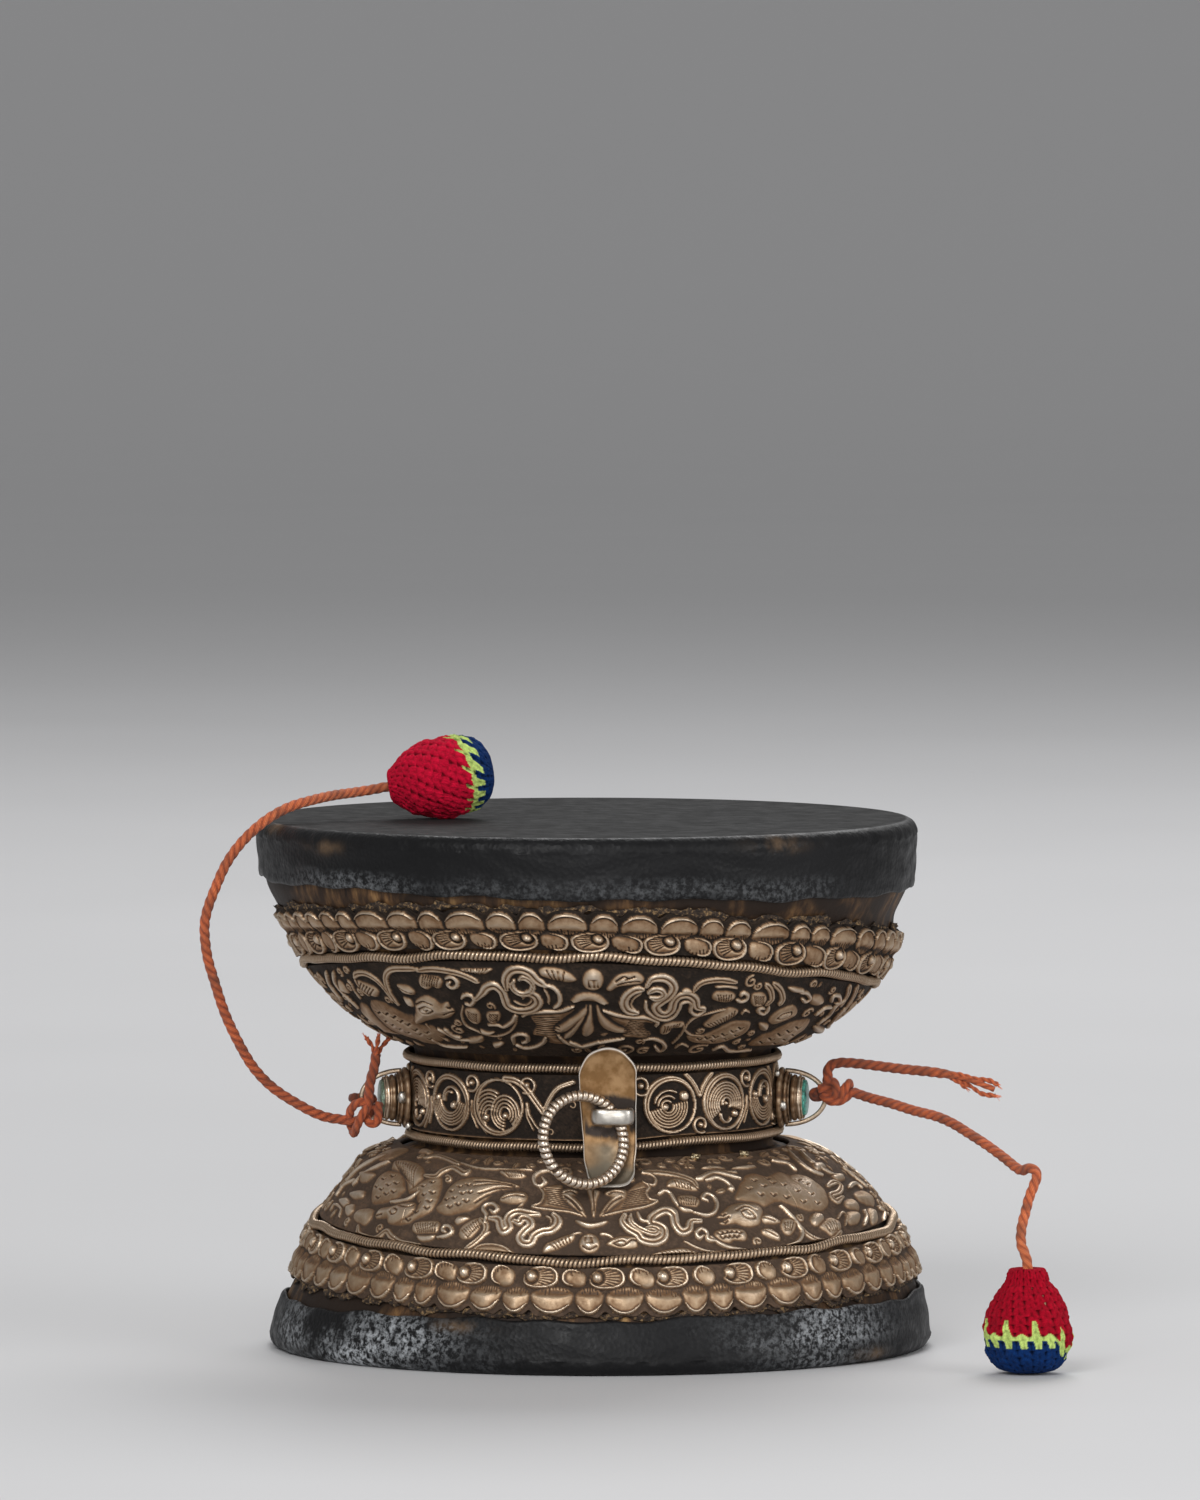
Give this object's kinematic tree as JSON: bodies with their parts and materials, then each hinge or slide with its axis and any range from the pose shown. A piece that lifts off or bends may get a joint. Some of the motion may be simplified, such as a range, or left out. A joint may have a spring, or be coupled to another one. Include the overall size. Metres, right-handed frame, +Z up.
{
  "type": "damaru hand drum",
  "caption": "Waisted hand drum with a skin head at each end, embossed silver jackets, a belt with a ring clasp, and strikers that swing on cords to hit the heads.",
  "frame": {"origin": "centre of the lower head's outer face, on which the drum stands", "axes": "+Z up from the lower head towards the upper head, +X to the viewer's right, -Y towards the viewer, where the ring clasp is"},
  "size_m": [0.166, 0.1293, 0.1184],
  "materials": {
    "wood_upper": "dark stained wood, bare at the edge",
    "wood_lower": "dark stained wood, bare at the edge",
    "wood_inner": "plain turned wood",
    "hide": "black lacquered hide, worn and dusty",
    "silver_relief": "embossed silver, darkened in the recesses",
    "silver_wire": "milled silver wire, worn",
    "silver_fitting": "plain silver, tarnished",
    "turquoise_left": "pale green turquoise, polished",
    "turquoise_right": "green turquoise, polished",
    "ring_silver": "silver wire, worn bright",
    "cotton_cord": "twisted cotton, rust orange",
    "crochet_left": "crocheted cotton, red, lime and blue",
    "crochet_right": "crocheted cotton, red, lime and blue",
    "striker_wood": "plain turned wood"
  },
  "bodies": {
    "drum": {"upper_bowl": "wood_upper", "lower_bowl": "wood_lower", "waist_dowel": "wood_inner", "upper_skin": "hide", "lower_skin": "hide", "upper_jacket": "silver_relief", "lower_jacket": "silver_relief", "upper_lotus_band": "silver_relief", "lower_lotus_band": "silver_relief", "belt_band": "silver_relief", "upper_milled_wire": "silver_wire", "lower_milled_wire": "silver_wire", "belt_upper_wire": "silver_wire", "belt_lower_wire": "silver_wire", "left_bezel_collar": "silver_fitting", "left_bezel_cup": "silver_fitting", "left_bail": "silver_fitting", "right_bezel_collar": "silver_fitting", "right_bezel_cup": "silver_fitting", "right_bail": "silver_fitting", "clasp_post": "silver_fitting", "clasp_plate": "silver_fitting", "clasp_staple": "silver_fitting", "left_stone": "turquoise_left", "right_stone": "turquoise_right", "left_cord_loop": "cotton_cord", "left_knot": "cotton_cord", "left_cord_tail": "cotton_cord", "right_cord_loop": "cotton_cord", "right_knot": "cotton_cord", "right_cord_tail": "cotton_cord"},
    "ring": {"ring_core": "ring_silver", "ring_wrap": "ring_silver"},
    "left_beater": {"left_cord": "cotton_cord", "left_striker_cover": "crochet_left", "left_striker_core": "striker_wood"},
    "right_beater": {"right_cord": "cotton_cord", "right_striker_cover": "crochet_right", "right_striker_core": "striker_wood"}
  },
  "joints": [
    {"name": "ring_swing", "type": "hinge", "parent": "drum", "child": "ring", "pos_m": [0.003, -0.04642, 0.048], "axis": [-0.5309, 0, 0.8474], "range_deg": [0, 100]},
    {"name": "left_beater_swing", "type": "hinge", "parent": "drum", "child": "left_beater", "pos_m": [-0.0492, -0.0106, 0.0444], "axis": [0, -1, 0], "range_deg": [0, 68]},
    {"name": "right_beater_swing", "type": "hinge", "parent": "drum", "child": "right_beater", "pos_m": [0.0492, -0.0114, 0.0496], "axis": [-0.8189, -0.5739, 0], "range_deg": [0, 50]}
  ]
}
